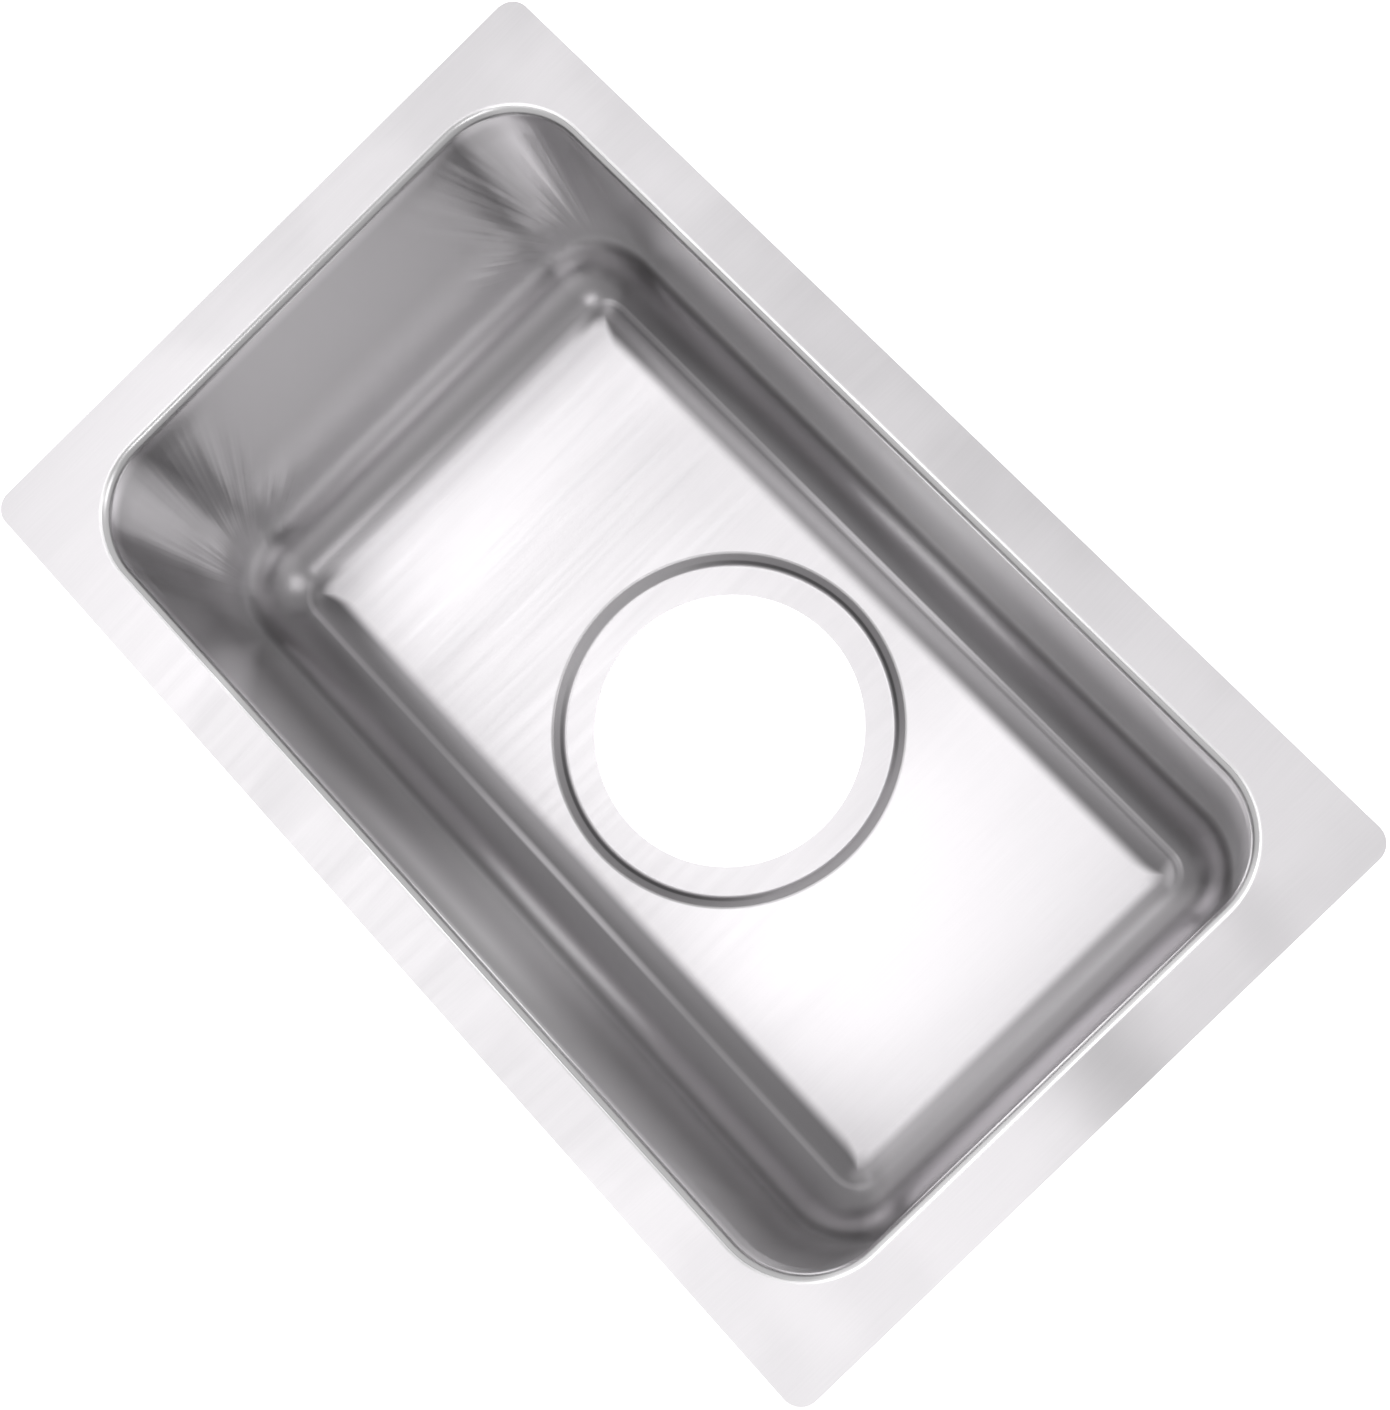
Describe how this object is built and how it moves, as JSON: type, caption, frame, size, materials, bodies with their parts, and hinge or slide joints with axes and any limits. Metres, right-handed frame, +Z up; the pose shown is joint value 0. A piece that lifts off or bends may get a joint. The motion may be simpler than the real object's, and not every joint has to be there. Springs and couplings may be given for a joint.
{
  "type": "bar sink",
  "caption": "Small rectangular bar sink drawn from stainless sheet, flat flange, round drain recess, with worktop clamps underneath.",
  "frame": {"origin": "middle of the sink, on the surface that its drain seat stands on", "axes": "+X along the length, to the right end; +Y across, to the back; +Z up, out of the bowl"},
  "size_m": [0.34, 0.21, 0.1292],
  "materials": {
    "bowl_steel": "satin, brushed across the sink",
    "undercoat": "sprayed, rough",
    "pad_rubber": "matt",
    "seal_foam": "closed-cell foam",
    "bracket_steel": "mill finish",
    "zinc_plate": "bright zinc plate",
    "spring_steel": "phosphated"
  },
  "bodies": {
    "sink": {"bowl": "bowl_steel", "undercoat": "undercoat", "rim_seal": "seal_foam", "side_pad_front": "pad_rubber", "side_pad_back": "pad_rubber", "end_pad_left": "pad_rubber", "end_pad_right": "pad_rubber", "floor_pad_left": "pad_rubber", "floor_pad_right": "pad_rubber", "bracket_left_front": "bracket_steel", "bracket_right_front": "bracket_steel", "bracket_left_back": "bracket_steel", "bracket_right_back": "bracket_steel", "weld_nut_left_front": "zinc_plate", "weld_nut_right_front": "zinc_plate", "weld_nut_left_back": "zinc_plate", "weld_nut_right_back": "zinc_plate"},
    "guide_left_front": {"guide_washer_left_front": "zinc_plate"},
    "screw_left_front": {"clamp_screw_left_front": "zinc_plate", "retaining_clip_left_front": "spring_steel"},
    "arm_left_front": {"swing_arm_left_front": "zinc_plate"},
    "guide_right_front": {"guide_washer_right_front": "zinc_plate"},
    "screw_right_front": {"clamp_screw_right_front": "zinc_plate", "retaining_clip_right_front": "spring_steel"},
    "arm_right_front": {"swing_arm_right_front": "zinc_plate"},
    "guide_left_back": {"guide_washer_left_back": "zinc_plate"},
    "screw_left_back": {"clamp_screw_left_back": "zinc_plate", "retaining_clip_left_back": "spring_steel"},
    "arm_left_back": {"swing_arm_left_back": "zinc_plate"},
    "guide_right_back": {"guide_washer_right_back": "zinc_plate"},
    "screw_right_back": {"clamp_screw_right_back": "zinc_plate", "retaining_clip_right_back": "spring_steel"},
    "arm_right_back": {"swing_arm_right_back": "zinc_plate"}
  },
  "joints": [
    {"name": "clamp_lift_left_front", "type": "slide", "parent": "sink", "child": "guide_left_front", "axis": [0, 0, 1], "range_m": [0, 0.0245]},
    {"name": "screw_spin_left_front", "type": "hinge", "parent": "guide_left_front", "child": "screw_left_front", "pos_m": [-0.095, -0.0942, 0.06665], "axis": [0, 0, 1], "range_deg": [0, 12600]},
    {"name": "arm_swing_left_front", "type": "hinge", "parent": "guide_left_front", "child": "arm_left_front", "pos_m": [-0.095, -0.0942, 0.06915], "axis": [0, 0, -1], "range_deg": [0, 90]},
    {"name": "clamp_lift_right_front", "type": "slide", "parent": "sink", "child": "guide_right_front", "axis": [0, 0, 1], "range_m": [0, 0.0245]},
    {"name": "screw_spin_right_front", "type": "hinge", "parent": "guide_right_front", "child": "screw_right_front", "pos_m": [0.095, -0.0942, 0.06665], "axis": [0, 0, 1], "range_deg": [0, 12600]},
    {"name": "arm_swing_right_front", "type": "hinge", "parent": "guide_right_front", "child": "arm_right_front", "pos_m": [0.095, -0.0942, 0.06915], "axis": [0, 0, 1], "range_deg": [0, 90]},
    {"name": "clamp_lift_left_back", "type": "slide", "parent": "sink", "child": "guide_left_back", "axis": [0, 0, 1], "range_m": [0, 0.0245]},
    {"name": "screw_spin_left_back", "type": "hinge", "parent": "guide_left_back", "child": "screw_left_back", "pos_m": [-0.095, 0.0942, 0.06665], "axis": [0, 0, 1], "range_deg": [0, 12600]},
    {"name": "arm_swing_left_back", "type": "hinge", "parent": "guide_left_back", "child": "arm_left_back", "pos_m": [-0.095, 0.0942, 0.06915], "axis": [0, 0, 1], "range_deg": [0, 90]},
    {"name": "clamp_lift_right_back", "type": "slide", "parent": "sink", "child": "guide_right_back", "axis": [0, 0, 1], "range_m": [0, 0.0245]},
    {"name": "screw_spin_right_back", "type": "hinge", "parent": "guide_right_back", "child": "screw_right_back", "pos_m": [0.095, 0.0942, 0.06665], "axis": [0, 0, 1], "range_deg": [0, 12600]},
    {"name": "arm_swing_right_back", "type": "hinge", "parent": "guide_right_back", "child": "arm_right_back", "pos_m": [0.095, 0.0942, 0.06915], "axis": [0, 0, -1], "range_deg": [0, 90]}
  ],
  "couplings": [
    {"joint": "screw_spin_left_front", "follows": "clamp_lift_left_front", "rad_per_m": 8976},
    {"joint": "screw_spin_right_front", "follows": "clamp_lift_right_front", "rad_per_m": 8976},
    {"joint": "screw_spin_left_back", "follows": "clamp_lift_left_back", "rad_per_m": 8976},
    {"joint": "screw_spin_right_back", "follows": "clamp_lift_right_back", "rad_per_m": 8976}
  ]
}
